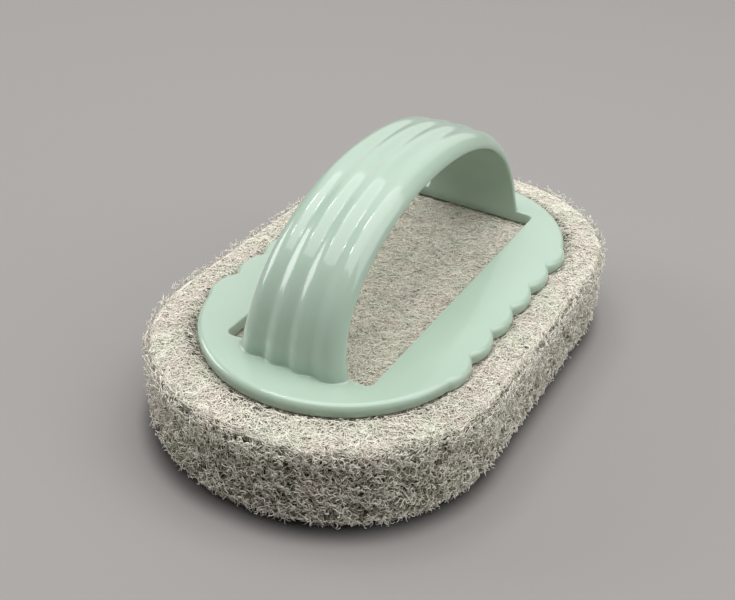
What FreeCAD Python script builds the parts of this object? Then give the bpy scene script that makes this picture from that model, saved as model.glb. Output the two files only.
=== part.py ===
import FreeCAD, Part
import math
import os
import Sketcher

# Arch-handled hand scrubber: a fibre pad with rounded ends, and on it a plastic moulding made of an oval plate
# with lobed long sides and a rectangular window, a fluted arch that stands at both ends of the window, and barbs
# under the plate that hold the pad. Millimetres. The origin is the middle of the pad's flat underside. +X runs
# along the pad, +Y across it, +Z up.

doc = FreeCAD.newDocument("hand_scrubber")
vec = FreeCAD.Vector

# ---------------------------------------------------------------- driving dimensions

SIZES = {
    # fibre pad
    "pad_length": 155.0,
    "pad_width": 94.0,
    "pad_height": 23.0,
    "pad_end_flat": 5.0,
    "pad_edge": 3.0,
    # window in the plate
    "window_length": 100.0,
    "window_width": 41.0,
    "window_corner": 3.0,
    # oval plate: its land beyond the window, and the lobes that stand out of its long sides
    "plate_height": 3.4,
    "end_land": 15.0,
    "side_land": 14.4,
    "plate_edge": 1.4,
    "lobe_pitch": 12.7,
    "lobe_rise": 2.1,
    "cusp_round": 0.7,
    # arch
    "arch_rise": 33.4,
    "arch_haunch": 25.0,
    "edge_wall": 1.8,
    "inner_crown": 1.3,
    "outer_crown": 2.8,
    "root_width": 31.0,
    "waist_width": 23.6,
    "waist_height": 15.0,
    "flute_pitch": 5.3,
    "flute_depth": 0.7,
    "arch_edge": 1.2,
    # barbs under the plate, and their pockets in the pad
    "barb_length": 6.0,
    "barb_shank": 1.8,
    "barb_head": 3.0,
    "barb_head_length": 2.4,
    "barb_tip": 0.8,
    "end_barb_pitch": 9.0,
    "barb_clearance": 0.35,
    "pocket_spare": 0.8,
}
LOBES = 6             # lobes on each long side of the plate
SIDE_BARB_ROWS = 2    # rows of barbs under each long side, one barb in each row under each lobe
END_BARBS = 4         # barbs under each end
CLOSE = 0.01          # how near two places have to be to count as one, in millimetres

sheet = doc.addObject("Spreadsheet::Sheet", "Sizes")
for row, (alias, value) in enumerate(SIZES.items(), start=1):
    sheet.set("A%d" % row, alias)
    sheet.set("B%d" % row, str(value))
    sheet.setAlias("B%d" % row, alias)
doc.recompute()

# Expressions that more than one piece needs, all in terms of the sheet.
PLATE_TOP = "(Sizes.pad_height + Sizes.plate_height)"
HALF_WINDOW = "(Sizes.window_length / 2)"
HALF_PLATE = "(Sizes.window_length / 2 + Sizes.end_land)"
HALF_CUSPS = "(Sizes.window_width / 2 + Sizes.side_land)"
HALF_LOBES = "(%d * Sizes.lobe_pitch / 2)" % LOBES
PAD_CORNER = "((Sizes.pad_width - Sizes.pad_end_flat) / 2)"


# ---------------------------------------------------------------- helpers

def value_of(expression):
    """The present value of an expression in the sheet's sizes."""
    return float(sheet.evalExpression(expression))


def bow_radius(half_chord, rise):
    """The radius, as an expression, of an arc that rises so much over so long a half chord."""
    return "((%s)^2 + (%s)^2) / (2 * (%s))" % (half_chord, rise, rise)


def new_body(name):
    body = doc.addObject("PartDesign::Body", name)
    body.Label = name
    body.AllowCompound = True
    return body


def origin_item(body, role):
    return next(item for item in body.Origin.OriginFeatures if item.Role == role)


def new_sketch(body, name, role, height="0"):
    """A sketch on one of the body's own origin planes, moved along the plane's normal by an expression."""
    sketch = body.newObject("Sketcher::SketchObject", name)
    sketch.AttachmentSupport = [(origin_item(body, role), "")]
    sketch.MapMode = "FlatFace"
    sketch.setExpression(".AttachmentOffset.Base.z", height)
    return sketch


def dimension(sketch, kind, *where_and_expression):
    """Add a dimension whose value is an expression, given last."""
    *where, expression = where_and_expression
    index = sketch.addConstraint(Sketcher.Constraint(kind, *where, value_of(expression)))
    sketch.setExpression("Constraints[%d]" % index, expression)


def pin_point(sketch, geometry, point, across, up):
    """Hold a point at two signed expressions, counted from the sketch's origin."""
    dimension(sketch, "DistanceX", -1, 1, geometry, point, across)
    dimension(sketch, "DistanceY", -1, 1, geometry, point, up)


def arc_through(start, end, radius):
    """The short counterclockwise arc of a radius from start to end."""
    chord = end - start
    reach = math.sqrt(radius ** 2 - (chord.Length / 2) ** 2)
    centre = (start + end) / 2 + vec(-chord.y, chord.x, 0).normalize() * reach
    first = math.atan2(start.y - centre.y, start.x - centre.x)
    last = math.atan2(end.y - centre.y, end.x - centre.x)
    return Part.ArcOfCircle(Part.Circle(centre, vec(0, 0, 1), radius), first, last)


def closed_outline(sketch, corners, bows, hollow=None):
    """Draw a closed counterclockwise outline through corners, each a pair of expressions.

    bows[i] is the radius expression of the arc that leaves corner i, or None for a straight side. An arc bulges
    out of the outline, except the one whose number is hollow, which bulges into it.
    """
    points = [vec(value_of(across), value_of(up), 0) for across, up in corners]
    count = len(corners)
    sides = []
    ends = []
    for i in range(count):
        start, end = points[i], points[(i + 1) % count]
        if bows[i] is None:
            sides.append(sketch.addGeometry(Part.LineSegment(start, end)))
        elif i == hollow:
            sides.append(sketch.addGeometry(arc_through(end, start, value_of(bows[i]))))
        else:
            sides.append(sketch.addGeometry(arc_through(start, end, value_of(bows[i]))))
        ends.append((2, 1) if i == hollow else (1, 2))
    for i in range(count):
        following = (i + 1) % count
        sketch.addConstraint(
            Sketcher.Constraint("Coincident", sides[i], ends[i][1], sides[following], ends[following][0]))
        pin_point(sketch, sides[i], ends[i][0], *corners[i])
        if bows[i] is not None:
            dimension(sketch, "Radius", sides[i], bows[i])


def rounded_rectangle(sketch, half_length, half_width, corner):
    """A centred rectangle with rounded corners, from expressions."""
    corners = []
    bows = []
    inner_x = "(%s - %s)" % (half_length, corner)
    inner_y = "(%s - %s)" % (half_width, corner)
    turns = (
        (inner_x, "-" + half_width, half_length, "-" + inner_y),
        (half_length, inner_y, inner_x, half_width),
        ("-" + inner_x, half_width, "-" + half_length, inner_y),
        ("-" + half_length, "-" + inner_y, "-" + inner_x, "-" + half_width),
    )
    for from_x, from_y, to_x, to_y in turns:
        corners += [(from_x, from_y), (to_x, to_y)]
        bows += [corner, None]
    closed_outline(sketch, corners, bows)


def pad_up(body, name, sketch, height):
    """Extrude a sketch along its normal."""
    pad = body.newObject("PartDesign::Pad", name)
    pad.Profile = sketch
    pad.setExpression("Length", height)
    doc.recompute()
    return pad


def fillet(body, name, base, radius, wanted):
    """Round the edges of a feature that a test picks out."""
    edges = ["Edge%d" % number for number, edge in enumerate(base.Shape.Edges, start=1) if wanted(edge)]
    rounding = body.newObject("PartDesign::Fillet", name)
    rounding.Base = (base, edges)
    rounding.setExpression("Radius", radius)
    doc.recompute()
    return rounding


def edge_at_height(height):
    """A test for edges that lie flat at a height."""
    def test(edge):
        box = edge.BoundBox
        return abs(box.ZMin - height) < CLOSE and abs(box.ZMax - height) < CLOSE
    return test


# ---------------------------------------------------------------- pieces

def make_base_plate():
    """Oval plate: end arcs, six convex lobes on each long side, rounded top rim, rectangular window."""
    body = new_body("base_plate")
    outline = new_sketch(body, "plate_outline", "XY_Plane", "Sizes.pad_height")
    cusps = ["(%d * Sizes.lobe_pitch / 2)" % (2 * i - LOBES) for i in range(LOBES + 1)]
    lobe = bow_radius("Sizes.lobe_pitch / 2", "Sizes.lobe_rise")
    end = bow_radius(HALF_CUSPS, "%s - %s" % (HALF_PLATE, HALF_LOBES))
    front = [(across, "-" + HALF_CUSPS) for across in cusps]
    back = [(across, HALF_CUSPS) for across in reversed(cusps)]
    closed_outline(outline, front + back, ([lobe] * LOBES + [end]) * 2)
    slab = pad_up(body, "plate_slab", outline, "Sizes.plate_height")

    def at_cusp(edge):
        box = edge.BoundBox
        return box.ZLength > value_of("Sizes.plate_height") / 2

    cusps_rounded = fillet(body, "cusps_rounded", slab, "Sizes.cusp_round", at_cusp)
    fillet(body, "rim_rounded", cusps_rounded, "Sizes.plate_edge", edge_at_height(value_of(PLATE_TOP)))

    window_outline = new_sketch(body, "window_outline", "XY_Plane", PLATE_TOP)
    rounded_rectangle(window_outline, HALF_WINDOW, "(Sizes.window_width / 2)", "Sizes.window_corner")
    window = body.newObject("PartDesign::Pocket", "window")
    window.Profile = window_outline
    window.Type = "ThroughAll"
    return body


def make_arch_handle():
    """Fluted three-centred arch, swept with a constant section and then drawn in to a waist above each root."""
    body = new_body("arch_handle")

    # the inner line of the arch: two haunches and a flatter crown, tangent to each other
    inner_line = new_sketch(body, "inner_line", "XZ_Plane")
    reach = value_of(HALF_WINDOW)
    root = value_of(PLATE_TOP)
    rise = value_of("Sizes.arch_rise")
    haunch = value_of("Sizes.arch_haunch")
    offset = "(%s - Sizes.arch_haunch)" % HALF_WINDOW
    crown_radius = ("(%s^2 + Sizes.arch_rise^2 - Sizes.arch_haunch^2)"
                    " / (2 * (Sizes.arch_rise - Sizes.arch_haunch))") % offset
    crown = value_of(crown_radius)
    top_centre = vec(0, root + rise - crown, 0)
    lean = math.atan2(root - top_centre.y, reach - haunch)
    arcs = (
        (vec(haunch - reach, root, 0), haunch, math.pi - lean, math.pi),
        (top_centre, crown, lean, math.pi - lean),
        (vec(reach - haunch, root, 0), haunch, 0, lean),
    )
    left, top, right = [
        inner_line.addGeometry(Part.ArcOfCircle(Part.Circle(centre, vec(0, 0, 1), radius), first, last))
        for centre, radius, first, last in arcs
    ]
    inner_line.addConstraint(Sketcher.Constraint("Tangent", left, 1, top, 2))
    inner_line.addConstraint(Sketcher.Constraint("Tangent", top, 1, right, 2))
    pin_point(inner_line, left, 3, "-" + offset, PLATE_TOP)
    pin_point(inner_line, right, 3, offset, PLATE_TOP)
    pin_point(inner_line, left, 2, "-" + HALF_WINDOW, PLATE_TOP)
    pin_point(inner_line, right, 1, HALF_WINDOW, PLATE_TOP)
    dimension(inner_line, "Radius", top, crown_radius)

    # the section at the arch's -X root: hollow inside, four lobes outside, crowned towards the middle
    section = new_sketch(body, "fluted_section", "XY_Plane", PLATE_TOP)
    half_root = "(Sizes.root_width / 2)"
    side_groove = "(Sizes.outer_crown * (1 - Sizes.flute_pitch^2 / %s^2))" % half_root
    stations = (
        (half_root, "0"),
        ("Sizes.flute_pitch", side_groove),
        ("0", "Sizes.outer_crown"),
        ("-Sizes.flute_pitch", side_groove),
        ("-" + half_root, "0"),
    )
    inside = "-" + HALF_WINDOW
    corners = [("(%s - Sizes.edge_wall - %s)" % (inside, swell), across) for across, swell in stations]
    outer_step = "(%s - Sizes.flute_pitch)" % half_root
    half_inner = "(sqrt(Sizes.flute_pitch^2 + (Sizes.outer_crown - %s)^2) / 2)" % side_groove
    half_outer = "(sqrt(%s^2 + %s^2) / 2)" % (outer_step, side_groove)
    inner_bow = bow_radius(half_inner, "Sizes.flute_depth")
    outer_bow = bow_radius(half_outer, "Sizes.flute_depth")
    corners += [(inside, "-" + half_root), (inside, half_root)]
    inside_bow = bow_radius(half_root, "Sizes.inner_crown")
    closed_outline(section, corners, [outer_bow, inner_bow, inner_bow, outer_bow, None, inside_bow, None], hollow=5)
    doc.recompute()

    band = body.newObject("PartDesign::AdditivePipe", "fluted_band")
    band.Profile = section
    band.Spine = (inner_line, [])
    band.Mode = "Binormal"
    band.Binormal = vec(0, 1, 0)
    doc.recompute()

    # what is cut away on each side so that the band narrows from its roots to its waist
    waist = new_sketch(body, "waist_outline", "YZ_Plane")
    half_waist = "(Sizes.waist_width / 2)"
    flare = "(%s - %s)" % (half_root, half_waist)
    waist_level = "(%s + Sizes.waist_height)" % PLATE_TOP
    thickest = "(Sizes.edge_wall + Sizes.outer_crown + Sizes.flute_depth)"
    over_top = "(%s + Sizes.arch_rise + %s)" % (PLATE_TOP, thickest)
    flare_radius = bow_radius("Sizes.waist_height", flare)
    clear_side = "(%s + %s)" % (half_root, thickest)
    side = [(half_waist, waist_level), (half_root, PLATE_TOP), (clear_side, PLATE_TOP), (clear_side, over_top),
            (half_waist, over_top)]
    other_side = [("-" + across, up) for across, up in reversed(side)]
    closed_outline(waist, side, [flare_radius, None, None, None, None])
    closed_outline(waist, other_side, [None, None, None, flare_radius, None])
    cut = body.newObject("PartDesign::Pocket", "waist")
    cut.Profile = waist
    cut.SideType = "Symmetric"
    cut.Type = "ThroughAll"
    doc.recompute()

    def beyond_inner_line(point):
        """How far a point stands outside the arch's inner line."""
        if abs(point.x) > top_centre.x + crown * math.cos(lean):
            return math.hypot(abs(point.x) - (reach - haunch), point.z - root) - haunch
        return math.hypot(point.x, point.z - top_centre.y) - crown

    def outer_side_edge(edge):
        middle = edge.valueAt((edge.FirstParameter + edge.LastParameter) / 2)
        on_side = abs(middle.y) > value_of(half_waist) - CLOSE
        above_root = middle.z > root + CLOSE
        outside = beyond_inner_line(middle) > value_of("Sizes.edge_wall") - CLOSE
        return on_side and above_root and outside

    fillet(body, "side_edges", cut, "Sizes.arch_edge", outer_side_edge)
    return body


# Where the barbs and their pockets stand: the first of each pattern, and the steps from it.
SIDE_BARB_X = "(-%d * Sizes.lobe_pitch / 2)" % (LOBES - 1)
SIDE_ROW_STEP = "(Sizes.side_land / %d)" % (SIDE_BARB_ROWS + 1)
SIDE_BARB_Y = "(Sizes.window_width / 2 + %s)" % SIDE_ROW_STEP
END_BARB_X = "(%s + Sizes.end_land / 2)" % HALF_WINDOW
END_BARB_Y = "(-%d * Sizes.end_barb_pitch / 2)" % (END_BARBS - 1)


def pattern(body, name, feature, steps, plane_role):
    """Repeat a feature in rows along the body's axes, then mirror the rows in one of its planes.

    Each step is an axis role, a total length expression and a count.
    """
    rows = []
    for axis_role, length, count in steps:
        row_pattern = body.newObject("PartDesign::LinearPattern", "%s_along_%s" % (name, axis_role[0].lower()))
        row_pattern.Direction = (origin_item(body, axis_role), [""])
        row_pattern.setExpression("Length", length)
        row_pattern.Occurrences = count
        rows.append(row_pattern)
    mirror = body.newObject("PartDesign::Mirrored", name + "_mirrored")
    mirror.MirrorPlane = (origin_item(body, plane_role), [""])
    both = body.newObject("PartDesign::MultiTransform", name)
    both.Originals = [feature]
    both.Transformations = rows + [mirror]
    body.Tip = both
    doc.recompute()
    return both


def side_pattern(body, name, feature):
    steps = (
        ("X_Axis", "%d * Sizes.lobe_pitch" % (LOBES - 1), LOBES),
        ("Y_Axis", "%d * %s" % (SIDE_BARB_ROWS - 1, SIDE_ROW_STEP), SIDE_BARB_ROWS),
    )
    return pattern(body, name, feature, steps, "XZ_Plane")


def end_pattern(body, name, feature):
    steps = (("Y_Axis", "%d * Sizes.end_barb_pitch" % (END_BARBS - 1), END_BARBS),)
    return pattern(body, name, feature, steps, "YZ_Plane")


def make_grip_barbs():
    """Barbs that point down from the plate's underside: a shank and a wider tapered head."""
    body = new_body("grip_barbs")
    half_shank = "(Sizes.barb_shank / 2)"
    half_head = "(Sizes.barb_head / 2)"
    half_tip = "(Sizes.barb_tip / 2)"
    low = "(Sizes.pad_height - Sizes.barb_length)"
    shoulder = "(%s + Sizes.barb_head_length)" % low
    profile = [("0", low), (half_tip, low), (half_head, shoulder), (half_shank, shoulder),
               (half_shank, "Sizes.pad_height"), ("0", "Sizes.pad_height")]

    def barb(name, across, along):
        sketch = new_sketch(body, name + "_profile", "XZ_Plane", "-(%s)" % along)
        sketch.setExpression(".AttachmentOffset.Base.x", across)
        closed_outline(sketch, profile, [None] * len(profile))
        turned = body.newObject("PartDesign::Revolution", name)
        turned.Profile = sketch
        turned.ReferenceAxis = (sketch, ["V_Axis"])
        turned.Angle = 360
        body.Tip = turned
        doc.recompute()
        return turned

    side_pattern(body, "side_barbs", barb("side_barb", SIDE_BARB_X, SIDE_BARB_Y))
    end_pattern(body, "end_barbs", barb("end_barb", END_BARB_X, END_BARB_Y))
    return body


def make_fibre_pad():
    """The pad: a thick rounded rectangle with soft edges, and a blind pocket round every barb."""
    body = new_body("fibre_pad")
    outline = new_sketch(body, "pad_outline", "XY_Plane")
    rounded_rectangle(outline, "(Sizes.pad_length / 2)", "(Sizes.pad_width / 2)", PAD_CORNER)
    block = pad_up(body, "pad_block", outline, "Sizes.pad_height")
    at_bottom = edge_at_height(0)
    at_top = edge_at_height(value_of("Sizes.pad_height"))
    fillet(body, "pad_edges", block, "Sizes.pad_edge", lambda edge: at_bottom(edge) or at_top(edge))

    def pocket(name, across, along):
        sketch = new_sketch(body, name + "_mouth", "XY_Plane", "Sizes.pad_height")
        sketch.setExpression(".AttachmentOffset.Base.x", across)
        sketch.setExpression(".AttachmentOffset.Base.y", along)
        circle = sketch.addGeometry(Part.Circle(vec(0, 0, 0), vec(0, 0, 1), value_of("Sizes.barb_head / 2")))
        sketch.addConstraint(Sketcher.Constraint("Coincident", circle, 3, -1, 1))
        dimension(sketch, "Radius", circle, "Sizes.barb_head / 2 + Sizes.barb_clearance")
        hole = body.newObject("PartDesign::Pocket", name)
        hole.Profile = sketch
        hole.setExpression("Length", "Sizes.barb_length + Sizes.pocket_spare")
        doc.recompute()
        return hole

    side_pattern(body, "side_pockets", pocket("side_pocket", SIDE_BARB_X, SIDE_BARB_Y))
    end_pattern(body, "end_pockets", pocket("end_pocket", END_BARB_X, END_BARB_Y))
    return body


# ---------------------------------------------------------------- build, check and write

bodies = [make_fibre_pad(), make_base_plate(), make_arch_handle(), make_grip_barbs()]
doc.recompute()

faults = [item.Name for item in doc.Objects if "Invalid" in item.State or "Error" in item.State]
if faults:
    raise RuntimeError("failed features: " + ", ".join(faults))
os.makedirs("parts", exist_ok=True)
for body in bodies:
    shape = body.Shape
    if shape.isNull() or not shape.isValid() or not shape.Solids:
        raise RuntimeError("bad shape: " + body.Label)
    shape.exportStep("parts/%s.step" % body.Label)
    box = shape.optimalBoundingBox(False)
    print("%s: %d solids, %.1f mm3, %.1f x %.1f x %.1f mm"
          % (body.Label, len(shape.Solids), shape.Volume, box.XLength, box.YLength, box.ZLength))
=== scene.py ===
import math

import bpy
import numpy as np
from mathutils import Matrix, Vector, noise


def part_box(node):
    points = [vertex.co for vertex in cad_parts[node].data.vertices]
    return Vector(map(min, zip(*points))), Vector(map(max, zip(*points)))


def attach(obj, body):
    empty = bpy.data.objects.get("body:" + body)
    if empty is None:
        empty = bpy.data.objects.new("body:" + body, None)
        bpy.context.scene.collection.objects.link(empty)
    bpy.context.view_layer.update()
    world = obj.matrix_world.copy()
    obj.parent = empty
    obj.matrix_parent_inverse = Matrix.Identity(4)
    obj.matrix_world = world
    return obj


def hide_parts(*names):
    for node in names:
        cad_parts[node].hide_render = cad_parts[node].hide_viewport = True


# Arch-handled hand scrubber. A pad of curled fibres carries a glossy plastic moulding: an oval plate with
# lobed long sides and a window, and a fluted arch over the window. Lengths are in millimetres until a mesh
# is made, and the places and sizes of the lights are in metres.

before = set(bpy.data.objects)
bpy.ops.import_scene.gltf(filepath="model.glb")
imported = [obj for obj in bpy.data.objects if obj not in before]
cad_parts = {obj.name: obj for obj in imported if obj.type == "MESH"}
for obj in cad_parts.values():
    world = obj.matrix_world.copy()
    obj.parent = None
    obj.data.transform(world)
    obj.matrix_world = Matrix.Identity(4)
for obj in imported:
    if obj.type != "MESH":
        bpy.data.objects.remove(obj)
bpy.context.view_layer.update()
FIBRE_SEED = 20
LUMP_SEED = 7
MM = 0.001
TINY = 1e-9
rng = np.random.default_rng(FIBRE_SEED)


def box_mm(node):
    low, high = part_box(node)
    return np.array(low) / MM, np.array(high) / MM


_, pad_high = box_mm("fibre_pad")
plate_low, plate_high = box_mm("base_plate")

# ---------------------------------------------------------------- sizes of the moulding

PLATE_UNDER = plate_low[2]
PLATE_TOP = plate_high[2]
HALF_PLATE_LENGTH = plate_high[0]
LOBES = 6                 # lobes on each long side of the plate
LOBE_PITCH = 12.7
LOBE_RISE = 2.1
HALF_CUSPS = plate_high[1] - LOBE_RISE
CUSP_ROUND = 0.7          # radius in the notch between two lobes
RIM_ROUND = 1.5           # rounding of the plate's top rim
LOWER_RIM_ROUND = 0.55
FLAT_BAND = 0.5           # flat ring beside each rounded top edge
END_STEPS = 90            # points along one end of the plate, one lobe and one notch
LOBE_STEPS = 16
NOTCH_STEPS = 8

HALF_WINDOW_LENGTH = 50.0
HALF_WINDOW_WIDTH = 20.5
WINDOW_CORNER = 1.8
WINDOW_EDGE = 0.35        # rounding of the window's top edge
WINDOW_CHAMFER = 0.3      # on its lower edge

ARCH_RISE = 33.3          # the arch's inner line over the plate
ARCH_SQUARENESS = 2.12    # 2 is an ellipse
HALF_WAIST = 12.0         # half the arch's width above its flared roots
ROOT_FLARE = 3.0          # what the root adds to that on each side
FLARE_HEIGHT = 11.0
WALL_AT_MIDDLE = 4.1      # the arch's thickness at its middle groove
WALL_DROP = 1.6           # how much thinner it is towards its sides
GROOVE_PLACE = 0.45       # a side groove's place, as a share of the half width
RIDGE_HEIGHT = 0.60       # on the crown
ROOT_RIDGE = 0.30         # what the roots add to that
RIDGE_FULLNESS = 0.85     # 1 is a plain wave, less is fuller
EDGE_ROLL_WIDTH = 2.3
EDGE_ROLL_DEPTH = 1.7
SIDE_PLACES = (0.7, 0.45)     # points down the flat side, as shares of its height
INNER_HOLLOW = 0.8
HOLLOW_HEIGHT = 12.0      # the hollow is full above this
INNER_EASE = 0.45         # rounding between the flat side and the inner face
ROOT_FILLET = 0.35
ROOT_SINK = 0.9           # how far the roots reach into the plate
INNER_FLUSH = 0.02        # how far the legs' inner faces stand past the window's ends

ARCH_SECTIONS = 230
ROOT_CROWDING = 0.35      # 0 spaces the sections evenly, more draws them towards the roots
ROOT_RUN = 1.2            # stretch of each root that has close sections of its own, for the fillet
ROOT_SECTIONS = 8
ROOT_GAP = 0.1
CURVE_STEPS = 6001
TOP_STEPS = 61            # points across the flutes, round each rolled edge and across the inner face
ROLL_STEPS = 8
INNER_STEPS = 21
SHARP_ANGLE = 50          # degrees

# ---------------------------------------------------------------- sizes of the pad

HALF_PAD = pad_high[:2]
PAD_TOP = pad_high[2]
PAD_CORNER = 44.5
PAD_EDGE = 3.2
CORNER_STEPS = 60         # points round one corner of the pad, and along one side
SIDE_STEPS = 20
UNDER_TUCK = 3.6          # how far the pad's sides draw in where it stands
UNDER_TUCK_HEIGHT = 5.5
SETTLE_ROUNDS = 2         # how often fibres are pushed in, since one push near a rounded edge falls short

PLATE_CORNER = 36.0       # corner of the rounded rectangle that stands for the plate's lobed outline,
LOBE_MIDDLE = 1.0         # and how far outside the cusps its sides run
PROUD_RISE = 1.9          # how far the free fibres stand up beside the plate
PROUD_START = 0.3
PROUD_RUN = 2.4
PROUD_FALL = 0.6          # how much of that they lose farther out
PROUD_FALL_RUN = 6.0
PLATE_PRESS = 0.15        # how far the plate presses the mat down

CORE_SIDE_DEPTH = 2.7     # how deep the shaded inside lies behind the fibres
CORE_TOP_DEPTH = 1.0
CORE_LEVELS = 12          # rings up its straight side
CORE_RINGS = 32           # rings over its level faces
CORE_BUMP = 0.45
CORE_WAVES = ((0.9, 1.0), (2.1, 0.6))     # how fine each of its bumps is, and how strong

# The same strip also darkens the core's top, as painted shade beside the plate's rim.
OPEN_MIDDLE = 1.5         # the strip beside the plate's rim where the mat is open: its middle line,
OPEN_REACH = 2.8          # how far it fades to each side,
OPEN_MOST = 0.85          # the share of fibres missing on its middle line
OPEN_AT_SIDES = 0.35      # and how open it is beside the lobes, against the plate's ends
OPEN_END_START = 32.0     # where along the plate its ends begin
OPEN_END_RUN = 14.0       # and how far the change takes

# ---------------------------------------------------------------- fibres

SPOT_MARGIN = 0.4         # how far inside the outline a level fibre's middle stays
WAVE_SPREAD = (0.7, 1.4)  # a crimp's length against the usual one,
BOB_SPREAD = (0.7, 1.5)   # and an up and down wave's

FACE_LENGTHS = (4.0, 8.0)
FACE_CURL = {"crimp": 0.8, "wave": 3.8, "bend": 2.4}
FACE_BOB_WAVE = 4.0
FACE_SHALLOWEST = 0.2
FACE_CROWDING = 1.15      # above 1 draws the fibres towards the face
FACE_SKIN = 0.12          # least depth under the surface, and how much a fibre's own depth adds to it
FACE_SINK = 0.9
EDGE_SCATTER = 2.2        # how unevenly the fibres of the top and the underside reach the edge
UNDER_PLATE_SHADE = 0.7       # painted shade: fibres inside the plate's outline get a tint as dark as if this much deeper
UNDER_PLATE_SHADE_RUN = 2.0

SIDE_LENGTHS = (4.0, 8.5)
SIDE_CURL = {"crimp": 0.9, "wave": 4.0, "bend": 2.4}
SIDE_BOB_WAVE = 3.6
SIDE_LEAN = 0.5
SIDE_LOWEST = 0.4         # height of the lowest fibres' middles,
SIDE_MARGINS = 1.0        # and what these and the highest ones leave free together
SIDE_CROWDING = 0.85      # below 1 draws the fibres towards the top
SIDE_FLOOR_GAP = 0.25
SIDE_TOP_GAP = 0.3
SIDE_SINK = 0.8
SIDE_LUMP = 0.65          # how uneven the cut side is
HOLLOW_SHADE = 0.6        # fibres in its hollows are shaded as if this much deeper
LOW_SHADE = 1.3           # and those near the floor this much
LOW_SHADE_HEIGHT = 13.0

LUMP_WAVES = 7
LUMP_PERIOD_RANGE = (4.0, 9.0)
LUMP_SUM = 2.6            # what the sum of the waves is divided by

STRAY_LENGTHS = (2.0, 5.0)
STRAY_CURL = {"crimp": 1.3, "wave": 2.8, "bend": 3.8}
STRAY_ON_SIDE = 0.72      # share of the loose ends that start on the cut side,
STRAY_AT_EDGES = 0.5      # share of those that start near its edges,
STRAY_LOW_EDGE = 0.5      # and share of those that start near the lower one
LOW_EDGE_HEIGHTS = (0.4, 4.0)
TOP_EDGE_HEIGHTS = (PAD_TOP - 5.0, PAD_TOP - 0.3)
FREE_HEIGHTS = (0.6, PAD_TOP)
STRAY_TOP_DEPTH = 0.2     # how deep the loose ends of the top start
STRAY_TILTS = (-0.2, 0.35)    # how far the outward direction on the cut side leans up
STRAY_STANDS = (0.15, 0.75)   # how steeply a loose end leaves the surface, as a sine
STRAY_FLOOR_GAP = 0.2
STRAY_REACH = 2.2         # how far a loose end may stand out of the pad
STRAY_TUCKED = 0.3        # how closely the loose ends follow the drawn-in lower edge

TUBE_SIDES = 3            # three, so that one triangle closes each end
END_TAPER = 0.35          # a fibre's thickness at its ends, as a share
THICKNESS_SPREAD = (0.75, 1.25)
DEPTH_SHADE = 0.2         # painted shade: how much a fibre's tint drops with each millimetre of depth

# ---------------------------------------------------------------- floor, light and camera

HALF_FLOOR = 3000.0
CONTACT_INSIDE = 3.0      # the floor's painted contact shadow starts this far inside the pad's outline
CONTACT_OUTSIDE = 3.6     # and ends this far outside it,
CONTACT_SHIFT = (2.0, 0.4, 0.0)     # drawn towards the end away from the far panel

WORLD_STRENGTH = 0.15
WORLD_COLOUR = (0.98, 0.99, 0.95)
# name, place, target, size and power in watts
LIGHTS = [
    ("sky_panel", (0.0, -0.1, 1.00), (0.0, 0.0, 0.03), (1.1, 1.1), 9.8),
    ("far_panel", (0.89, 0.35, 0.75), (0.0, 0.0, 0.02), (1.5, 1.3), 3.8),
    ("right_panel", (0.25, -0.95, 0.70), (0.0, 0.0, 0.02), (0.9, 0.8), 4.6),
    ("left_panel", (-0.20, 1.15, 0.50), (0.0, 0.0, 0.02), (0.7, 0.5), 5.0),
    ("upper_streak", (0.10, 0.38, 0.86), (-0.03, 0.0, 0.05), (0.18, 0.05), 0.5),
    ("lower_streak", (-0.19, 0.38, 0.80), (-0.03, 0.0, 0.05), (0.10, 0.06), 0.35),
]

CAMERA_AZIMUTH = -61.90   # degrees
CAMERA_ELEVATION = 32.87
CAMERA_ROLL = 2.86
CAMERA_DISTANCE = 265.3
CAMERA_AIM = (-18.2, -1.65, PLATE_TOP)
CAMERA_LENS = 49.8
CAMERA_SENSOR = 36
CAMERA_NEAR = 0.01        # metres
CAMERA_FAR = 20


# ---------------------------------------------------------------- mesh helpers

def make_mesh(name, points, faces, sharp_angle=None):
    """An object from points in millimetres and lists of vertex numbers."""
    mesh = bpy.data.meshes.new(name)
    mesh.from_pydata((np.asarray(points) * MM).tolist(), [], [list(face) for face in faces])
    mesh.update()
    mesh.shade_smooth()
    if sharp_angle is not None:
        mesh.set_sharp_from_angle(angle=math.radians(sharp_angle))
    piece = bpy.data.objects.new(name, mesh)
    bpy.context.scene.collection.objects.link(piece)
    return piece


def strip(first, second):
    """Quads between two closed rings of vertex numbers of the same length."""
    count = len(first)
    return [(first[i], first[(i + 1) % count], second[(i + 1) % count], second[i]) for i in range(count)]


def tube(rings):
    """Quads along a row of rings, closed by a face at each end."""
    faces = []
    for first, second in zip(rings, rings[1:]):
        faces += strip(first, second)
    return faces + [tuple(reversed(rings[0])), tuple(rings[-1])]


def zip_rings(points, outer, inner):
    """Triangles between two counterclockwise rings round the origin that may have different lengths."""
    def turned(ring):
        angles = np.unwrap([math.atan2(points[i][1], points[i][0]) for i in ring])
        return list(angles) + [angles[0] + 2 * math.pi]

    outer_angle = turned(outer)
    inner_angle = turned(inner)
    start = int(np.argmin([abs(math.remainder(a - outer_angle[0], 2 * math.pi)) for a in inner_angle[:-1]]))
    inner = inner[start:] + inner[:start]
    inner_angle = turned(inner)
    shift = round((outer_angle[0] - inner_angle[0]) / (2 * math.pi)) * 2 * math.pi
    inner_angle = [a + shift for a in inner_angle]
    faces = []
    i, j = 0, 0
    while i < len(outer) or j < len(inner):
        take_outer = j == len(inner) or (i < len(outer) and outer_angle[i + 1] <= inner_angle[j + 1])
        if take_outer:
            faces.append((outer[i % len(outer)], outer[(i + 1) % len(outer)], inner[j % len(inner)]))
            i += 1
        else:
            faces.append((outer[i % len(outer)], inner[(j + 1) % len(inner)], inner[j % len(inner)]))
            j += 1
    return faces


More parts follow.
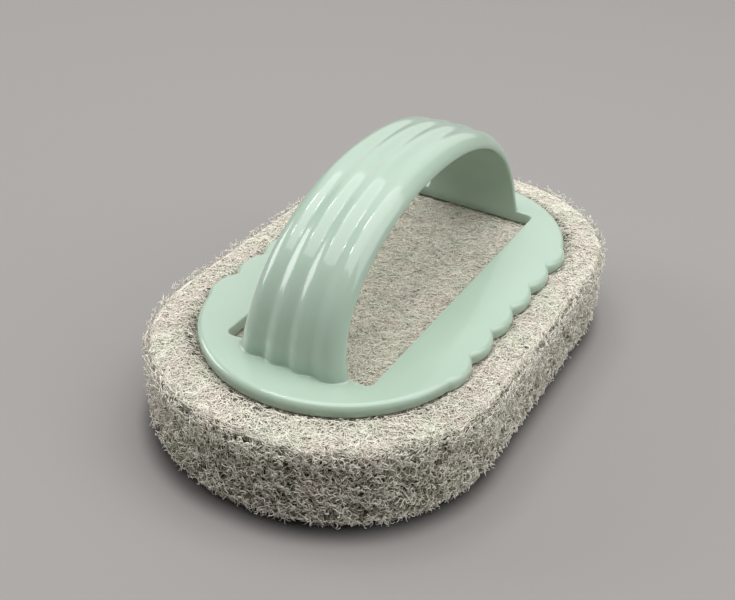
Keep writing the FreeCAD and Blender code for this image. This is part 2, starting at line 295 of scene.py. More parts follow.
def add_ring(points, rings, ring):
    """Add a ring's points to a list of points, and their numbers to a list of rings."""
    rings.append(list(range(len(points), len(points) + len(ring))))
    points += ring


def at_height(outline, height):
    return [(x, y, height) for x, y in outline]


def round_over(radius, steps):
    """A quarter round, level end first: distances in from the upright face and off the level one."""
    return [(radius * (1 - math.sin(turn)), radius * (1 - math.cos(turn)))
            for turn in np.linspace(0, math.pi / 2, steps)]


def sample_arc(centre, radius, first, last, steps):
    turn = np.linspace(first, last, steps, endpoint=False)
    return [(centre[0] + radius * math.cos(a), centre[1] + radius * math.sin(a)) for a in turn]


def rounded_box_outline(half_length, half_width, corner, corner_steps, side_steps):
    """A rounded rectangle, counterclockwise."""
    x, y = half_length - corner, half_width - corner
    centres = [(x, -y), (x, y), (-x, y), (-x, -y)]
    outline = []
    for quarter, centre in enumerate(centres):
        first = (quarter - 1) * math.pi / 2
        last = first + math.pi / 2
        outward = corner * np.array((math.cos(last), math.sin(last)))
        start = np.array(centre) + outward
        end = np.array(centres[(quarter + 1) % 4]) + outward
        outline += sample_arc(centre, corner, first, last, corner_steps)
        outline += [tuple(start + (end - start) * k / side_steps) for k in range(side_steps)]
    return outline


# ---------------------------------------------------------------- oval plate

def circle_meeting(centre_a, radius_a, centre_b, radius_b):
    """Of the two points at these distances from two centres, the one farther from the origin."""
    a, b = np.array(centre_a), np.array(centre_b)
    gap = np.linalg.norm(b - a)
    along = (gap ** 2 + radius_a ** 2 - radius_b ** 2) / (2 * gap)
    aside = math.sqrt(radius_a ** 2 - along ** 2)
    forward = (b - a) / gap
    sideways = np.array((-forward[1], forward[0]))
    found = [a + forward * along + sideways * aside, a + forward * along - sideways * aside]
    return max(found, key=np.linalg.norm)


def plate_arcs():
    """Centres and radii of the convex arcs round the plate, counterclockwise from the front left lobe."""
    lobe_radius = ((LOBE_PITCH / 2) ** 2 + LOBE_RISE ** 2) / (2 * LOBE_RISE)
    lobe_centre = HALF_CUSPS + LOBE_RISE - lobe_radius
    end_rise = HALF_PLATE_LENGTH - LOBES * LOBE_PITCH / 2
    end_radius = (HALF_CUSPS ** 2 + end_rise ** 2) / (2 * end_rise)
    end_centre = HALF_PLATE_LENGTH - end_radius
    middles = [(i - (LOBES - 1) / 2) * LOBE_PITCH for i in range(LOBES)]
    front = [((x, -lobe_centre), lobe_radius) for x in middles]
    back = [((x, lobe_centre), lobe_radius) for x in reversed(middles)]
    return front + [((end_centre, 0.0), end_radius)] + back + [((-end_centre, 0.0), end_radius)]


def plate_outline(inset):
    """The lobed outline, drawn in by a distance. It has the same number of points whatever the distance."""
    arcs = plate_arcs()
    count = len(arcs)
    notches = [circle_meeting(arcs[i][0], arcs[i][1] + CUSP_ROUND,
                              arcs[(i + 1) % count][0], arcs[(i + 1) % count][1] + CUSP_ROUND)
               for i in range(count)]
    outline = []
    for i, (centre, radius) in enumerate(arcs):
        before, after = notches[i - 1], notches[i]
        first = math.atan2(before[1] - centre[1], before[0] - centre[0])
        last = math.atan2(after[1] - centre[1], after[0] - centre[0])
        if last < first:
            last += 2 * math.pi
        is_end = radius > HALF_CUSPS
        outline += sample_arc(centre, radius - inset, first, last, END_STEPS if is_end else LOBE_STEPS)
        following = arcs[(i + 1) % count][0]
        into = last + math.pi
        out = math.atan2(following[1] - after[1], following[0] - after[0])
        out = into + math.remainder(out - into, 2 * math.pi)
        outline += sample_arc(after, CUSP_ROUND + inset, into, out, NOTCH_STEPS)
    return outline


def make_plate():
    """Lobed oval plate with a rounded rim and a window with eased edges."""
    rim = [(inset, PLATE_UNDER + rise) for inset, rise in round_over(LOWER_RIM_ROUND, steps=3)]
    rim += [(inset, PLATE_TOP - drop) for inset, drop in reversed(round_over(RIM_ROUND, steps=10))]
    rim.append((RIM_ROUND + FLAT_BAND, PLATE_TOP))
    eased = [(WINDOW_EDGE + FLAT_BAND, PLATE_TOP)]
    eased += [(outset, PLATE_TOP - drop) for outset, drop in round_over(WINDOW_EDGE, steps=5)]
    eased += [(0.0, PLATE_UNDER + WINDOW_CHAMFER), (WINDOW_CHAMFER, PLATE_UNDER)]

    points = []
    rims = []
    windows = []
    for inset, height in rim:
        add_ring(points, rims, at_height(plate_outline(inset), height))
    for outset, height in eased:
        outline = rounded_box_outline(HALF_WINDOW_LENGTH + outset, HALF_WINDOW_WIDTH + outset,
                                      WINDOW_CORNER + outset, corner_steps=10, side_steps=30)
        add_ring(points, windows, at_height(outline, height))

    faces = []
    for first, second in [*zip(rims, rims[1:]), *zip(windows, windows[1:])]:
        faces += strip(first, second)
    faces += zip_rings(points, rims[-1], windows[0])
    faces += [tuple(reversed(face)) for face in zip_rings(points, rims[0], windows[-1])]
    return make_mesh("plate_moulding", points, faces, SHARP_ANGLE)


# ---------------------------------------------------------------- fluted arch

def arch_stations():
    """Places and outward directions along the inner line, from the -X root to the +X root."""
    turn = np.linspace(math.pi, 0, CURVE_STEPS)
    power = 2 / ARCH_SQUARENESS
    x = HALF_WINDOW_LENGTH * np.sign(np.cos(turn)) * np.abs(np.cos(turn)) ** power
    z = ARCH_RISE * np.abs(np.sin(turn)) ** power
    run = np.concatenate(([0], np.cumsum(np.hypot(np.diff(x), np.diff(z)))))
    share = np.linspace(-1, 1, ARCH_SECTIONS)
    crowded = ROOT_CROWDING * np.sin(share * math.pi / 2) + (1 - ROOT_CROWDING) * share
    spot = run[-1] * (0.5 + 0.5 * crowded)
    clear = ROOT_RUN + ROOT_GAP
    near_root = np.linspace(0, ROOT_RUN, ROOT_SECTIONS, endpoint=False)
    between = spot[(spot > clear) & (spot < run[-1] - clear)]
    spot = np.unique(np.concatenate((near_root, between, run[-1] - near_root)))
    x = np.interp(spot, run, x)
    z = np.interp(spot, run, z)
    lean_x = np.sign(x) * np.abs(x / HALF_WINDOW_LENGTH) ** (ARCH_SQUARENESS - 1) / HALF_WINDOW_LENGTH
    lean_z = np.abs(z / ARCH_RISE) ** (ARCH_SQUARENESS - 1) / ARCH_RISE
    size = np.hypot(lean_x, lean_z)
    return x, z, lean_x / size, lean_z / size


def fillet_at(height):
    """How far the root's fillet stands out at a height over the plate."""
    if height >= ROOT_FILLET:
        return 0.0
    return ROOT_FILLET - math.sqrt(ROOT_FILLET ** 2 - (ROOT_FILLET - height) ** 2)


def ridges(place, height):
    """Height of the four ridges at places across, from 0 in the middle to 1 at a side."""
    lobe = np.where(place < GROOVE_PLACE, place / GROOVE_PLACE,
                    (place - GROOVE_PLACE) / (1 - GROOVE_PLACE)) * 2 - 1
    ridge_height = RIDGE_HEIGHT + ROOT_RIDGE * (1 - height / ARCH_RISE) ** 2
    return ridge_height * (0.5 + 0.5 * np.cos(math.pi * lobe)) ** RIDGE_FULLNESS


def arch_section(height):
    """The closed section at a height over the plate: places across, and distances from the inner line."""
    half = HALF_WAIST + ROOT_FLARE * math.exp(-height / FLARE_HEIGHT)
    fillet = fillet_at(height)
    roll = EDGE_ROLL_WIDTH / half
    rolled_part = roll * (1 - np.cos(np.linspace(0, math.pi / 2, ROLL_STEPS, endpoint=False)))
    flat_part = np.linspace(-1 + roll, 1 - roll, TOP_STEPS)
    share = np.concatenate((-1 + rolled_part, flat_part, 1 - rolled_part[::-1]))
    place = np.abs(share)
    past = np.clip((place - (1 - roll)) / roll, 0, 1)
    rolled = EDGE_ROLL_DEPTH * (1 - np.sqrt(1 - past ** 2))
    out = WALL_AT_MIDDLE - WALL_DROP * place ** 3 + ridges(place, height) - rolled + fillet
    across = share * (half + fillet * past)
    right = [(across[-1], out[-1] * share_of_side) for share_of_side in SIDE_PLACES]
    eased = list(reversed(round_over(INNER_EASE, steps=4)))[:-1]
    right += [(half - back, rise) for back, rise in eased]
    left = [(-y, n) for y, n in reversed(right)]
    inner_share = np.linspace(1, -1, INNER_STEPS)
    inner = INNER_HOLLOW * min(1.0, height / HOLLOW_HEIGHT) * (1 - inner_share ** 2)
    inside = [(s * (half - INNER_EASE), n) for s, n in zip(inner_share, inner)]
    return list(zip(across, out)) + right + inside + left


def make_arch():
    """Arch swept along its inner line, with four ridges, rolled side edges and flared roots."""
    xs, zs, lean_x, lean_z = arch_stations()
    rows = [(xs[0], -ROOT_SINK, -1.0, 0.0, 0.0)]
    rows += [(x, z, nx, nz, z) for x, z, nx, nz in zip(xs, zs, lean_x, lean_z)]
    rows.append((xs[-1], -ROOT_SINK, 1.0, 0.0, 0.0))
    points = []
    rings = []
    for x, z, nx, nz, height in rows:
        section = [(y, n - INNER_FLUSH) for y, n in arch_section(height)]
        add_ring(points, rings, [(x + n * nx, y, PLATE_TOP + z + n * nz) for y, n in section])
    return make_mesh("arch_moulding", points, tube(rings), SHARP_ANGLE)


# ---------------------------------------------------------------- the pad's shape

def corner_distance(reach, radius):
    """Signed distance from a rounded corner, given the reach past its two faces, and each face's share."""
    out = np.maximum(reach, 0)
    length = np.linalg.norm(out, axis=-1)
    distance = length + np.minimum(np.max(reach, axis=-1), 0) - radius
    share = np.where((length > TINY)[..., None], out / np.maximum(length, TINY)[..., None],
                     np.eye(2)[np.argmax(reach, axis=-1)])
    return distance, share


def rounded_distance(xy, half, corner):
    """Signed distance from a rounded rectangle, negative inside, and its outward direction."""
    distance, share = corner_distance(np.abs(xy) - (half - corner), corner)
    return distance, share * np.sign(xy)


def block_distance(points):
    """Signed distance from the pad's rounded block, and its outward direction."""
    flat, away = rounded_distance(points[..., :2], HALF_PAD, PAD_CORNER)
    middle = PAD_TOP / 2
    tall = np.abs(points[..., 2] - middle) - middle
    distance, share = corner_distance(np.stack((flat, tall), axis=-1) + PAD_EDGE, PAD_EDGE)
    upward = np.sign(points[..., 2] - middle)
    direction = np.concatenate((away * share[..., :1], (share[..., 1] * upward)[..., None]), axis=-1)
    return distance, direction


def tuck_at(height):
    """How far the sides draw in at a height over the floor."""
    return UNDER_TUCK * np.clip(1 - height / UNDER_TUCK_HEIGHT, 0, 1) ** 2


def settle(points, depth, tucked=1.0):
    """Push points in until they lie at least a depth under the pad's surface."""
    for _ in range(SETTLE_ROUNDS):
        distance, direction = block_distance(points)
        sideways = np.linalg.norm(direction[..., :2], axis=-1)
        tuck = tucked * tuck_at(points[..., 2]) * sideways
        points = points - direction * np.maximum(distance + depth + tuck, 0)[..., None]
    return points


def distance_from_plate(xy):
    """Roughly how far places lie outside the plate's rim, negative under the plate."""
    half = np.array((HALF_PLATE_LENGTH, HALF_CUSPS + LOBE_MIDDLE))
    distance, _ = rounded_distance(xy, half, PLATE_CORNER)
    return distance


def opening(xy):
    """How open the mat is beside the plate's rim, from 0 to 1; the core's top there goes dark by as much,
    as painted shade. It is most open round the plate's ends.
    """
    strip_share = np.exp(-((distance_from_plate(xy) - OPEN_MIDDLE) / OPEN_REACH) ** 2)
    end_share = np.clip((np.abs(xy[..., 0]) - OPEN_END_START) / OPEN_END_RUN, 0, 1)
    return strip_share * (OPEN_AT_SIDES + (1 - OPEN_AT_SIDES) * end_share)


def raise_round_plate(points):
    """The free mat stands a little proud round the plate, and the plate presses down what is under it."""
    distance = distance_from_plate(points[..., :2]) - PROUD_START
    risen = PROUD_RISE * np.clip(distance / PROUD_RUN, 0, 1)
    fallen = PROUD_FALL * np.clip((distance - PROUD_RUN) / PROUD_FALL_RUN, 0, 1)
    share = np.clip(points[..., 2] / PAD_TOP, 0, 1) ** 3
    lifted = points.copy()
    lifted[..., 2] += (risen - fallen - PLATE_PRESS) * share
    return lifted


# ---------------------------------------------------------------- paths of the fibres

def wander(count, steps, length, crimp, wave, bend):
    """Curling flat paths that start at their middles: offsets along and across a first heading."""
    share = np.linspace(0, 1, steps)[None, :]
    phase = rng.uniform(0, 2 * math.pi, (count, 1))
    shortest, longest = wave * np.array(WAVE_SPREAD)
    waves = length[:, None] / rng.uniform(shortest, longest, (count, 1))
    heading = (rng.normal(0, bend, (count, 1)) * (share - 0.5)
               + crimp * np.sin(2 * math.pi * waves * share + phase))
    step = length[:, None] / (steps - 1)
    along = np.cumsum(np.cos(heading) * step, axis=1)
    across = np.cumsum(np.sin(heading) * step, axis=1)
    middle = steps // 2
    return along - along[:, middle:middle + 1], across - across[:, middle:middle + 1]


def undulate(count, steps, length, height, wave):
    """Waves up and down along fibres."""
    share = np.linspace(0, 1, steps)[None, :]
    shortest, longest = wave * np.array(BOB_SPREAD)
    waves = length[:, None] / rng.uniform(shortest, longest, (count, 1))
    phase = rng.uniform(0, 2 * math.pi, (count, 1))
    return height * np.sin(2 * math.pi * waves * share + phase)


def spots_in_outline(count):
    """Random places within the pad's outline."""
    found = np.zeros((0, 2))
    while len(found) < count:
        tried = rng.uniform(-HALF_PAD, HALF_PAD, (count, 2))
        distance, _ = rounded_distance(tried, HALF_PAD, PAD_CORNER)
        found = np.concatenate((found, tried[distance < -SPOT_MARGIN]))
    return found[:count]


def spots_on_side(count):
    """Random places round the pad's outline with the directions along it and out of it."""
    outline = rounded_box_outline(*HALF_PAD, PAD_CORNER, CORNER_STEPS, SIDE_STEPS)
    line = np.array(outline + outline[:1])
    run = np.concatenate(([0], np.cumsum(np.linalg.norm(np.diff(line, axis=0), axis=1))))
    where = rng.uniform(0, run[-1], count)
    place = np.stack([np.interp(where, run, line[:, k]) for k in (0, 1)], axis=1)
    _, out = rounded_distance(place, HALF_PAD, PAD_CORNER)
    return place, np.stack((-out[:, 1], out[:, 0]), axis=1), out


lump_rng = np.random.default_rng(LUMP_SEED)
LUMP_HEADINGS = lump_rng.normal(0, 1, (LUMP_WAVES, 3))
LUMP_HEADINGS /= np.linalg.norm(LUMP_HEADINGS, axis=1, keepdims=True)
LUMP_PERIODS = lump_rng.uniform(*LUMP_PERIOD_RANGE, LUMP_WAVES)
LUMP_STARTS = lump_rng.uniform(0, 2 * math.pi, LUMP_WAVES)


def lumps(points):
    """The pad's soft unevenness, a few millimetres across, mostly between -1 and 1."""
    waves = np.sin(2 * math.pi * (points @ LUMP_HEADINGS.T) / LUMP_PERIODS + LUMP_STARTS)
    return waves.sum(axis=-1) / LUMP_SUM


def face_fibres(count, steps, height_of_face, deepest, lift, inset, opened):
    """Fibres that lie in the plane of the pad's top or underside, a little inside its outline."""
    length = rng.uniform(*FACE_LENGTHS, count)
    along, across = wander(count, steps, length, **FACE_CURL)
    heading = rng.uniform(0, 2 * math.pi, (count, 1))
    place = spots_in_outline(count)
    x = place[:, :1] + along * np.cos(heading) - across * np.sin(heading)
    y = place[:, 1:] + along * np.sin(heading) + across * np.cos(heading)
    depth = rng.uniform(FACE_SHALLOWEST, deepest, (count, 1)) ** FACE_CROWDING
    bob = undulate(count, steps, length, lift, FACE_BOB_WAVE)
    inward = -1 if height_of_face > 0 else 1
    z = height_of_face + inward * (depth + np.abs(bob))
    distance, away = rounded_distance(np.stack((x, y), axis=-1), HALF_PAD, PAD_CORNER)
    edge = inset + rng.uniform(0, EDGE_SCATTER, (count, 1))
    over = np.maximum(distance + edge, 0)[..., None] * away
    points = np.stack((x - over[..., 0], y - over[..., 1], z), axis=-1)
    kept = rng.random(count) > opened * opening(place)
    # painted shade under the plate: top fibres inside its outline get a darker tint
    under_plate = np.clip(-distance_from_plate(place) / UNDER_PLATE_SHADE_RUN, 0, 1) if opened else np.zeros(count)
    shade = depth[:, 0] + UNDER_PLATE_SHADE * under_plate
    return settle(points[kept], FACE_SKIN + FACE_SINK * depth[kept]), shade[kept]


def side_fibres(count, steps, deepest, lift):
    """Fibres of the cut side: mostly level, looping in and out of the face."""
    length = rng.uniform(*SIDE_LENGTHS, count)
    along, across = wander(count, steps, length, **SIDE_CURL)
    lean = rng.normal(0, SIDE_LEAN, (count, 1))
    place, tangent, out = spots_on_side(count)
    level = along * np.cos(lean) - across * np.sin(lean)
    up = along * np.sin(lean) + across * np.cos(lean)
    depth = rng.uniform(0.0, deepest, (count, 1))
    height = SIDE_LOWEST + (PAD_TOP - SIDE_MARGINS) * rng.uniform(0, 1, (count, 1)) ** SIDE_CROWDING
    hollow = np.clip(lumps(np.column_stack((place, height))), -1, 1)[:, None]
    inward = depth + lift + SIDE_LUMP * (1 + hollow) + undulate(count, steps, length, lift, SIDE_BOB_WAVE)
    x = place[:, :1] + level * tangent[:, :1] - inward * out[:, :1]
    y = place[:, 1:] + level * tangent[:, 1:] - inward * out[:, 1:]
    z = np.clip(height + up, SIDE_FLOOR_GAP, PAD_TOP - SIDE_TOP_GAP)
    # painted shade: fibres in the side's hollows and near the floor get a darker tint
    shade = depth + HOLLOW_SHADE * hollow + LOW_SHADE * np.clip(1 - height / LOW_SHADE_HEIGHT, 0, 1)
    return settle(np.stack((x, y, z), axis=-1), SIDE_SINK * depth), shade[:, 0]


def stray_starts(count):
    """Random places and outward directions for loose ends, most of them at the pad's edges."""
    on_side = rng.random(count) < STRAY_ON_SIDE
    side_place, _, out = spots_on_side(count)
    top_place = spots_in_outline(count)
    edge_height = np.where(rng.random(count) < STRAY_LOW_EDGE, rng.uniform(*LOW_EDGE_HEIGHTS, count),
                           rng.uniform(*TOP_EDGE_HEIGHTS, count))
    height = np.where(rng.random(count) < STRAY_AT_EDGES, edge_height, rng.uniform(*FREE_HEIGHTS, count))
    side_place = side_place - out * tuck_at(height)[:, None]
    start = np.where(on_side[:, None], np.column_stack((side_place, height)),
                     np.column_stack((top_place, np.full(count, PAD_TOP - STRAY_TOP_DEPTH))))
    normal = np.where(on_side[:, None], np.column_stack((out, rng.uniform(*STRAY_TILTS, count))),
                      np.array((0.0, 0.0, 1.0)))
    return start, normal


def stray_fibres(count, steps):
    """Loose ends and small loops that stand out of the pad all over."""
    length = rng.uniform(*STRAY_LENGTHS, count)
    along, across = wander(count, steps, length, **STRAY_CURL)
    start, normal = stray_starts(count)
    flat = rng.normal(0, 1, (count, 3))
    flat -= normal * np.sum(flat * normal, axis=1, keepdims=True)
    flat /= np.linalg.norm(flat, axis=1, keepdims=True)
    stand = rng.uniform(*STRAY_STANDS, (count, 1))
    forward = flat * np.sqrt(1 - stand ** 2) + normal * stand
    sideways = np.cross(forward, normal)
    sideways /= np.linalg.norm(sideways, axis=1, keepdims=True)
    points = (start[:, None, :] + along[..., None] * forward[:, None, :]
              + across[..., None] * sideways[:, None, :])
    points[..., 2] = np.clip(points[..., 2], STRAY_FLOOR_GAP, None)
    return settle(points, -STRAY_REACH, STRAY_TUCKED), np.zeros(count)


# ---------------------------------------------------------------- meshes of the fibres and the core

def tube_corners(paths, radius, reference):
    """Corner points of closed tubes round paths, path by path and step by step."""
    forward = np.gradient(paths, axis=1)
    forward /= np.maximum(np.linalg.norm(forward, axis=-1, keepdims=True), TINY)
    side = np.cross(forward, reference[:, None, :])
    side /= np.maximum(np.linalg.norm(side, axis=-1, keepdims=True), TINY)
    other = np.cross(side, forward)
    taper = np.ones(paths.shape[1])
    taper[0] = taper[-1] = END_TAPER
    reach = (radius[:, None] * taper[None, :])[..., None]
    corners = []
    for k in range(TUBE_SIDES):
        turn = 2 * math.pi * k / TUBE_SIDES
        corners.append(paths + reach * (math.cos(turn) * other + math.sin(turn) * side))
    return np.stack(corners, axis=2).reshape(-1, 3)


def tube_faces(count, steps):
    """Quads along a number of equal tubes, and the triangles that close their ends."""
    ring = np.arange(TUBE_SIDES)
    following = (ring + 1) % TUBE_SIDES
    one_step = np.stack((ring, ring + TUBE_SIDES, following + TUBE_SIDES, following), axis=1)
    one_tube = (one_step[None] + TUBE_SIDES * np.arange(steps - 1)[:, None, None]).reshape(-1, 4)
    caps = np.stack((ring, TUBE_SIDES * (steps - 1) + ring[[0, 2, 1]]))
    tube_start = TUBE_SIDES * steps * np.arange(count)[:, None, None]
    return (one_tube[None] + tube_start).reshape(-1, 4), (caps[None] + tube_start).reshape(-1, TUBE_SIDES)


def fibre_mesh(name, paths, radius, tint_and_shade, reference):
    """One mesh of closed tubes round the paths, with a tint for each fibre that also carries its painted
    shade.
    """
    count, steps, _ = paths.shape
    points = tube_corners(paths, radius, reference)
    quads, caps = tube_faces(count, steps)
    mesh = bpy.data.meshes.new(name)
    mesh.vertices.add(len(points))
    mesh.vertices.foreach_set("co", (points * MM).astype(np.float32).ravel())
    mesh.loops.add(quads.size + caps.size)
    mesh.loops.foreach_set("vertex_index", np.concatenate((quads.ravel(), caps.ravel())).astype(np.int32))
    mesh.polygons.add(len(quads) + len(caps))
    starts = np.concatenate((np.arange(len(quads)) * 4, quads.size + np.arange(len(caps)) * TUBE_SIDES))
    mesh.polygons.foreach_set("loop_start", starts.astype(np.int32))
    mesh.update(calc_edges=True)
    mesh.shade_smooth()
    shade = mesh.attributes.new("fibre_tint_and_shade", "FLOAT", "POINT")
    shade.data.foreach_set("value", np.repeat(tint_and_shade, TUBE_SIDES * steps).astype(np.float32))
    piece = bpy.data.objects.new(name, mesh)
    bpy.context.scene.collection.objects.link(piece)
    return piece


def add_fibres(name, paths, depth, thickness, fairness, spread, parts):
    """Fibre pieces that ride with the pad's core, each small enough to export whole."""
    count = len(paths)
    middle = paths[:, paths.shape[1] // 2]
    _, outward = block_distance(middle)
    radius = rng.uniform(*THICKNESS_SPREAD, count) * thickness / 2
    # painted shade: the tint drops for fibres lying deeper, in the side's hollows, near the floor and under
    # the plate
    tint_and_shade = np.clip(rng.normal(fairness, spread, count) - DEPTH_SHADE * depth, 0, 1)
    lifted = raise_round_plate(paths)
    around = np.argsort(np.arctan2(middle[:, 1], middle[:, 0]))
    for part, chosen in enumerate(np.array_split(around, parts), start=1):
        piece = fibre_mesh("%s_%d" % (name, part), lifted[chosen], radius[chosen], tint_and_shade[chosen],
                           outward[chosen])
        piece.data.materials.append(fibre)
        piece.parent = core


def core_profile():
    """How far the core's side draws in at heights from the floor to the pad's top."""
    edge = round_over(PAD_EDGE, steps=6)
    levels = np.linspace(PAD_EDGE, PAD_TOP - PAD_EDGE, CORE_LEVELS + 2)[1:-1]
    profile = edge + [(0.0, height) for height in levels]
    return profile + [(inset, PAD_TOP - drop) for inset, drop in reversed(edge)]


def make_core():
    """The bumpy inside of the pad, seen between the fibres, coloured with painted shade: dark on its sides
    and beside the plate's rim, lighter on its level faces as painted light.
    """
    rows = []
    for edge_inset, height in core_profile():
        inset = edge_inset + CORE_SIDE_DEPTH + tuck_at(height)
        line = rounded_box_outline(*(HALF_PAD - inset), PAD_CORNER - inset, CORNER_STEPS, SIDE_STEPS)
        rows.append(at_height(line, CORE_TOP_DEPTH + height * (1 - 2 * CORE_TOP_DEPTH / PAD_TOP)))
    scales = np.linspace(1, 0, CORE_RINGS + 2)[1:-1]
    under = [[(x * s, y * s, z) for x, y, z in rows[0]] for s in reversed(scales)]
    over = [[(x * s, y * s, z) for x, y, z in rows[-1]] for s in scales]
    points = []
    rings = []
    for row in under + rows + over:
        add_ring(points, rings, row)
    points = raise_round_plate(np.array(points))
    _, outward = block_distance(points)
    bump = np.array([sum(part * noise.noise(Vector(p) * fineness) for fineness, part in CORE_WAVES)
                     for p in points])
    points += outward * (CORE_BUMP * bump)[:, None]
    inside = make_mesh("pad_shade_core", points, tube(rings))
    level = inside.data.attributes.new("core_painted_light", "FLOAT", "POINT")
    # painted light and shade: the level faces take the lighter colour and the sides the dark one; beside
    # the plate's rim the top takes the dark one too
    opened = np.where(outward[:, 2] > 0, opening(points[:, :2]), 0)
    level.data.foreach_set("value", (outward[:, 2] ** 2 * (1 - opened)).astype(np.float32))
    return inside


# ---------------------------------------------------------------- materials

def set_inputs(node, settings):
    for name, setting in settings.items():
        node.inputs[name].default_value = setting


class Surface:
    """A material in the making, with short ways to add the nodes that are used often."""

    def __init__(self, name):
        self.material = bpy.data.materials.new(name)
        self.material.use_nodes = True
        self.nodes = self.material.node_tree.nodes
        self.link = self.material.node_tree.links.new
        self.shader = self.nodes["Principled BSDF"]
        self.place = self.nodes.new("ShaderNodeTexCoord").outputs["Object"]

    def noise(self, scale, detail):
        texture = self.nodes.new("ShaderNodeTexNoise")
        set_inputs(texture, {"Scale": scale, "Detail": detail})
        self.link(self.place, texture.inputs["Vector"])
        return texture.outputs["Fac"]

    def attribute(self, name):
        reader = self.nodes.new("ShaderNodeAttribute")
        reader.attribute_name = name
        return reader.outputs["Fac"]

    def ramp(self, value, *stops):
        """Colours by value, from pairs of a value and a colour in rising order."""
        node = self.nodes.new("ShaderNodeValToRGB")
        elements = node.color_ramp.elements
        for element, (position, colour) in zip(elements, (stops[0], stops[-1])):
            element.position = position
            element.color = (*colour, 1)
        for position, colour in stops[1:-1]:
            elements.new(position).color = (*colour, 1)
        self.link(value, node.inputs["Fac"])
        return node.outputs["Color"]

    def mix(self, first, second, blend_type="MIX", factor=None):
        """Two colours blended wholly, or by a value."""
        node = self.nodes.new("ShaderNodeMix")
        node.data_type = "RGBA"
        node.blend_type = blend_type
        node.inputs["Factor"].default_value = 1.0
        if factor is not None:
            self.link(factor, node.inputs["Factor"])
        self.link(first, node.inputs["A"])
        self.link(second, node.inputs["B"])
        return node.outputs["Result"]

    def vector(self, operation, first, second=(0.0, 0.0, 0.0)):
        """What a vector operation makes of a linked vector and a fixed one."""
        node = self.nodes.new("ShaderNodeVectorMath")
        node.operation = operation
        self.link(first, node.inputs[0])
        node.inputs[1].default_value = second
        return node.outputs["Value" if operation == "LENGTH" else "Vector"]

    def map_range(self, value, settings, interpolation="LINEAR"):
        node = self.nodes.new("ShaderNodeMapRange")
        node.interpolation_type = interpolation
        set_inputs(node, settings)
        self.link(value, node.inputs["Value"])
        return node.outputs["Result"]

    def finish(self, colour, settings):
        """Set the base colour and the shader's plain values, and give the material."""
        self.link(colour, self.shader.inputs["Base Color"])
        set_inputs(self.shader, settings)
        return self.material


def plastic_material():
    """Glossy mint plastic: faint clouds in the colour, and a moulded skin that is not quite even."""
    plastic = Surface("mint_plastic")
    clouds = plastic.noise(scale=35, detail=3)
    skin = plastic.map_range(plastic.noise(scale=220, detail=2), {"To Min": 0.30, "To Max": 0.38})
    plastic.link(skin, plastic.shader.inputs["Roughness"])
    bump = plastic.nodes.new("ShaderNodeBump")
    set_inputs(bump, {"Strength": 0.05, "Distance": 0.0004})
    plastic.link(clouds, bump.inputs["Height"])
    plastic.link(bump.outputs["Normal"], plastic.shader.inputs["Normal"])
    colour = plastic.ramp(clouds, (0.3, (0.418, 0.548, 0.444)), (0.7, (0.444, 0.572, 0.470)))
    return plastic.finish(colour, {
        "IOR": 1.49,
        "Coat Weight": 0.8,
        "Coat Roughness": 0.06,
        "Subsurface Weight": 0.15,
        "Subsurface Radius": (0.5, 1.0, 0.7),
        "Subsurface Scale": 0.003,
    })


def fibre_material():
    """Cream fibres: a tint for each fibre that also carries painted shade, and warm and cool patches over
    the pad.
    """
    fibres = Surface("pad_fibre")
    tint_and_shade = fibres.ramp(fibres.attribute("fibre_tint_and_shade"), (0.0, (0.42, 0.40, 0.32)),
                       (0.5, (0.82, 0.78, 0.695)), (1.0, (0.96, 0.93, 0.875)))
    patches = fibres.ramp(fibres.noise(scale=90, detail=2), (0.3, (0.965, 1.0, 0.945)),
                          (0.7, (1.0, 0.965, 0.95)))
    colour = fibres.mix(tint_and_shade, patches, "MULTIPLY")
    return fibres.finish(colour, {"Roughness": 0.55, "Specular IOR Level": 0.35})


def core_material():
    """Painted shade of the inner fibres: a dark grain on the sides, and a lighter grain on the level faces
    as painted light.
    """
    shade = Surface("pad_shade")
    grain = shade.noise(scale=900, detail=3)
    sides = shade.ramp(grain, (0.35, (0.035, 0.035, 0.024)), (0.7, (0.17, 0.165, 0.125)))
    levels = shade.ramp(grain, (0.3, (0.40, 0.385, 0.32)), (0.7, (0.78, 0.75, 0.68)))
    colour = shade.mix(sides, levels, factor=shade.attribute("core_painted_light"))
    return shade.finish(colour, {"Roughness": 0.9})


def floor_material():
    """Matt pale floor with a painted contact shadow where the pad stands and just round it."""
    ground = Surface("pale_floor")
    shifted = ground.vector("ADD", ground.place, np.array(CONTACT_SHIFT) * MM)
    mirrored = ground.vector("ABSOLUTE", shifted)
    reach = ground.vector("SUBTRACT", mirrored, (*((HALF_PAD - PAD_CORNER) * MM), 0.0))
    distance = ground.vector("LENGTH", ground.vector("MAXIMUM", reach))
    nearest = (PAD_CORNER - CONTACT_INSIDE) * MM
    farthest = (PAD_CORNER + CONTACT_OUTSIDE) * MM
    contact_shadow_fade = ground.map_range(distance, {"From Min": nearest, "From Max": farthest}, "SMOOTHSTEP")
    # painted contact shadow: dark at the pad's edge, fading out to the pale floor
    colour = ground.ramp(contact_shadow_fade, (0.0, (0.090, 0.085, 0.083)), (1.0, (0.312, 0.295, 0.287)))
    return ground.finish(colour, {"Roughness": 0.7})


# ---------------------------------------------------------------- build

mint = plastic_material()
plate = make_plate()
plate.data.materials.append(mint)
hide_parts("base_plate")
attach(plate, "handle")

arch = make_arch()
arch.data.materials.append(mint)
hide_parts("arch_handle")
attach(arch, "handle")

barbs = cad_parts["grip_barbs"]
barbs.data.materials.clear()
barbs.data.materials.append(mint)

core = make_core()
core.data.materials.append(core_material())
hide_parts("fibre_pad")
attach(core, "pad")

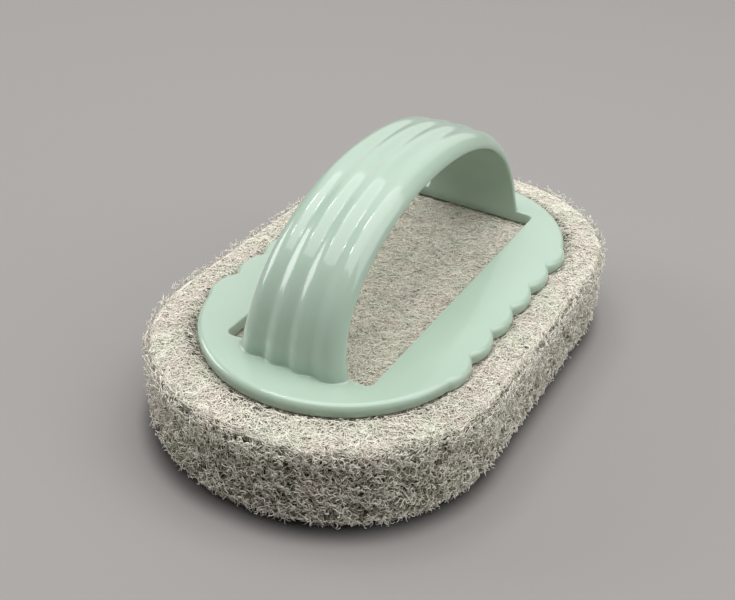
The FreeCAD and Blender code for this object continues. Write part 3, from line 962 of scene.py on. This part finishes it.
fibre = fibre_material()
top = face_fibres(count=30000, steps=8, height_of_face=PAD_TOP, deepest=0.85, lift=0.18, inset=0.3,
                  opened=OPEN_MOST)
add_fibres("top_fibres", *top, thickness=0.235, fairness=0.76, spread=0.09, parts=7)
side = side_fibres(count=17500, steps=9, deepest=2.4, lift=0.7)
add_fibres("side_fibres", *side, thickness=0.3, fairness=0.68, spread=0.25, parts=5)
under = face_fibres(count=8600, steps=8, height_of_face=0.0, deepest=1.2, lift=0.2, inset=4.4, opened=0.0)
add_fibres("under_fibres", *under, thickness=0.34, fairness=0.72, spread=0.2, parts=2)
stray = stray_fibres(count=6400, steps=9)
add_fibres("stray_fibres", *stray, thickness=0.24, fairness=0.76, spread=0.2, parts=2)


# ---------------------------------------------------------------- stage

def make_floor():
    size = HALF_FLOOR
    points = [(-size, -size, 0), (size, -size, 0), (size, size, 0), (-size, size, 0)]
    floor = make_mesh("floor", points, [(0, 1, 2, 3)])
    floor.data.materials.append(floor_material())


def add_area_light(name, place, target, size, power):
    light = bpy.data.lights.new(name, "AREA")
    light.shape = "RECTANGLE"
    light.size, light.size_y = size
    light.energy = power
    lamp = bpy.data.objects.new(name, light)
    lamp.location = place
    lamp.rotation_mode = "QUATERNION"
    lamp.rotation_quaternion = (Vector(target) - Vector(place)).to_track_quat("-Z", "Y")
    bpy.context.scene.collection.objects.link(lamp)


def set_world():
    world = bpy.data.worlds.new("studio")
    world.use_nodes = True
    background = world.node_tree.nodes["Background"]
    background.inputs["Color"].default_value = (*WORLD_COLOUR, 1)
    background.inputs["Strength"].default_value = WORLD_STRENGTH
    bpy.context.scene.world = world


def make_camera():
    azimuth = math.radians(CAMERA_AZIMUTH)
    elevation = math.radians(CAMERA_ELEVATION)
    back = Vector((math.sin(azimuth) * math.cos(elevation), -math.cos(azimuth) * math.cos(elevation),
                   math.sin(elevation)))
    camera_data = bpy.data.cameras.new("camera")
    camera_data.lens = CAMERA_LENS
    camera_data.sensor_width = CAMERA_SENSOR
    camera_data.clip_start = CAMERA_NEAR
    camera_data.clip_end = CAMERA_FAR
    camera = bpy.data.objects.new("camera", camera_data)
    camera.rotation_mode = "QUATERNION"
    roll = Matrix.Rotation(math.radians(CAMERA_ROLL), 3, "Z")
    turn = (-back).to_track_quat("-Z", "Y").to_matrix() @ roll
    camera.rotation_quaternion = turn.to_quaternion()
    camera.location = (Vector(CAMERA_AIM) + back * CAMERA_DISTANCE) * MM
    bpy.context.scene.collection.objects.link(camera)
    bpy.context.scene.camera = camera


make_floor()
set_world()
for light_values in LIGHTS:
    add_area_light(*light_values)
make_camera()
bpy.context.scene.view_settings.view_transform = "Standard"
